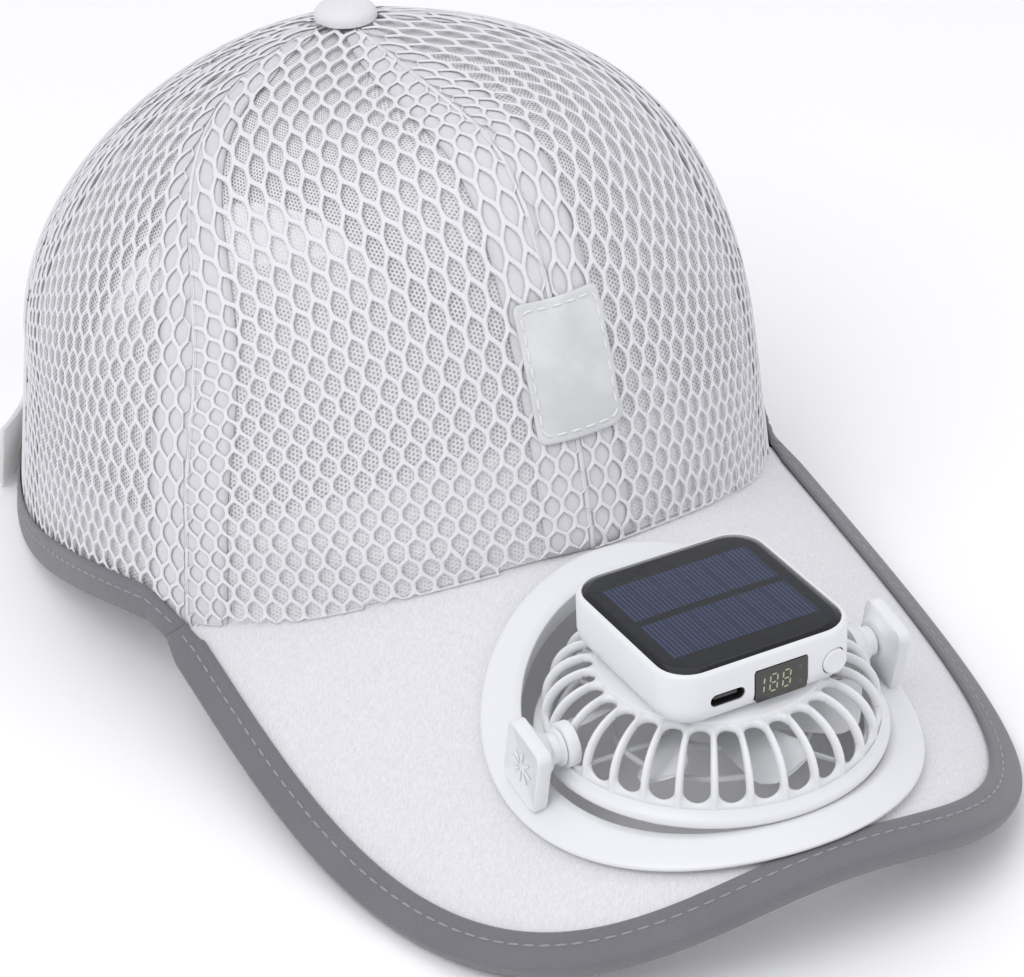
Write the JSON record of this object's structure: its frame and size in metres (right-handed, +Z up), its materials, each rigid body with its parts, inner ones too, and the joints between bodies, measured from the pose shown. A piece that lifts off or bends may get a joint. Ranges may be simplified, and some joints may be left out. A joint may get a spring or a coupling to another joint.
{
  "type": "solar fan hat",
  "caption": "Six-panel mesh cap with a bent brim that carries a tilting round fan under a square solar panel module.",
  "frame": {"origin": "centre of the bounding box on the floor that the hat rests on", "axes": "+Z up, the brim points along -Y, the wearer's left side is +X"},
  "size_m": [0.1954, 0.3448, 0.141],
  "materials": {
    "white_cloth": "matte woven polyester mesh and twill",
    "grey_binding": "grey woven edge tape",
    "strap_cloth": "off-white woven webbing",
    "patch_sheet": "pale grey smooth sheet, stitched round",
    "white_plastic": "satin white moulding",
    "fan_plastic": "satin pale grey moulding",
    "solar_cells": "glossy dark solar cells under clear resin",
    "display_glass": "dark display window"
  },
  "bodies": {
    "hat": {"crown": "white_cloth", "crown_binding": "grey_binding", "seam_tape_front": "white_cloth", "seam_tape_left_front": "white_cloth", "seam_tape_right_front": "white_cloth", "seam_tape_left_rear": "white_cloth", "seam_tape_right_rear": "white_cloth", "seam_tape_rear": "white_cloth", "sweatband": "white_cloth", "button": "white_cloth", "patch": "patch_sheet", "brim": "white_cloth", "brim_binding": "grey_binding", "rear_strap": "strap_cloth", "fan_flange": "white_plastic", "clamp_ring": "white_plastic", "pivot_block_left": "white_plastic", "pivot_block_right": "white_plastic"},
    "fan_unit": {"pivot_pin_left": "white_plastic", "pivot_pin_right": "white_plastic", "fan_housing": "white_plastic", "fan_guard": "white_plastic", "fan_motor": "fan_plastic", "module_case": "white_plastic", "solar_panel": "solar_cells", "display_window": "display_glass"},
    "impeller": {"impeller": "fan_plastic"},
    "power_button": {"power_button": "white_plastic"}
  },
  "joints": [
    {"name": "fan_tilt", "type": "hinge", "parent": "hat", "child": "fan_unit", "pos_m": [0, -0.11594, 0.03987], "axis": [1, 0, 0], "range_deg": [-45, 45]},
    {"name": "impeller_spin", "type": "hinge", "parent": "fan_unit", "child": "impeller", "pos_m": [0, -0.11594, 0.03987], "axis": [0, 0.0175, 0.9998], "continuous": true},
    {"name": "button_push", "type": "slide", "parent": "fan_unit", "child": "power_button", "axis": [0, 0.9998, -0.0175], "range_m": [0, 0.0006], "stiffness_N_per_m": 2000}
  ]
}
